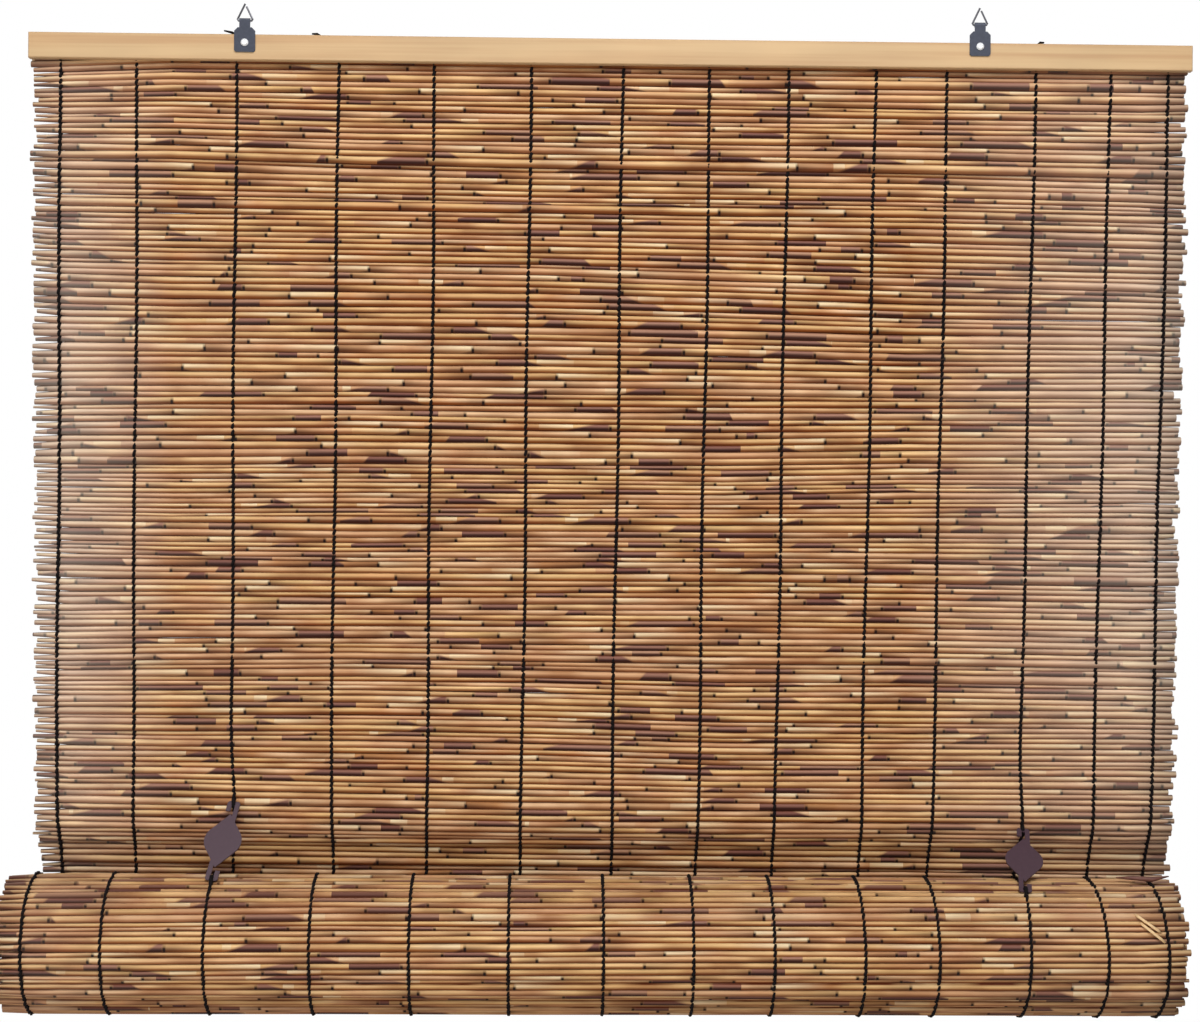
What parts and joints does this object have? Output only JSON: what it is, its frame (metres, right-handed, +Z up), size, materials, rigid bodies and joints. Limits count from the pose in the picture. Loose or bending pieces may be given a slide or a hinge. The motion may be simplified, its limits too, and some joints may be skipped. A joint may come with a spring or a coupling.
{
  "type": "reed roll-up blind",
  "caption": "Window blind of thin reeds twined on dark strings, clamped between wooden head battens with hanging rings and rolled up from the bottom on leaf-shaped hooks.",
  "frame": {"origin": "middle of the rear batten's back face", "axes": "+X along the battens to the right as seen from the room, +Y towards the wall, +Z up"},
  "size_m": [1.01, 0.1199, 0.8674],
  "materials": {
    "batten_wood": "planed, unpainted",
    "reed": "natural skin, slight sheen",
    "string": "twisted, matte",
    "strap_steel": "dark, satin",
    "ring_steel": "dull wire",
    "screw_zinc": "bright zinc",
    "hook_paint": "dark, satin",
    "staple_steel": "bare wire"
  },
  "bodies": {
    "blind": {"batten_staples": "staple_steel", "rear_batten": "batten_wood", "front_batten": "batten_wood", "hanger_strap_left": "strap_steel", "hanger_strap_right": "strap_steel", "hanger_screws": "screw_zinc", "hanging_mat": "reed", "mat_roll": "reed", "warp_string_01": "string", "warp_string_02": "string", "warp_string_03": "string", "warp_string_04": "string", "warp_string_05": "string", "warp_string_06": "string", "warp_string_07": "string", "warp_string_08": "string", "warp_string_09": "string", "warp_string_10": "string", "warp_string_11": "string", "warp_string_12": "string", "warp_string_13": "string", "warp_string_14": "string", "roll_hook_left": "hook_paint", "roll_hook_right": "hook_paint"},
    "ring_left": {"hanger_ring_left": "ring_steel"},
    "ring_right": {"hanger_ring_right": "ring_steel"}
  },
  "joints": [
    {"name": "ring_left_swing", "type": "hinge", "parent": "blind", "child": "ring_left", "pos_m": [-0.3155, -0.02135, 0.0226], "axis": [1, 0, 0], "range_deg": [-120, 115]},
    {"name": "ring_right_swing", "type": "hinge", "parent": "blind", "child": "ring_right", "pos_m": [0.3155, -0.02135, 0.0266], "axis": [1, 0, 0], "range_deg": [-120, 115]}
  ]
}
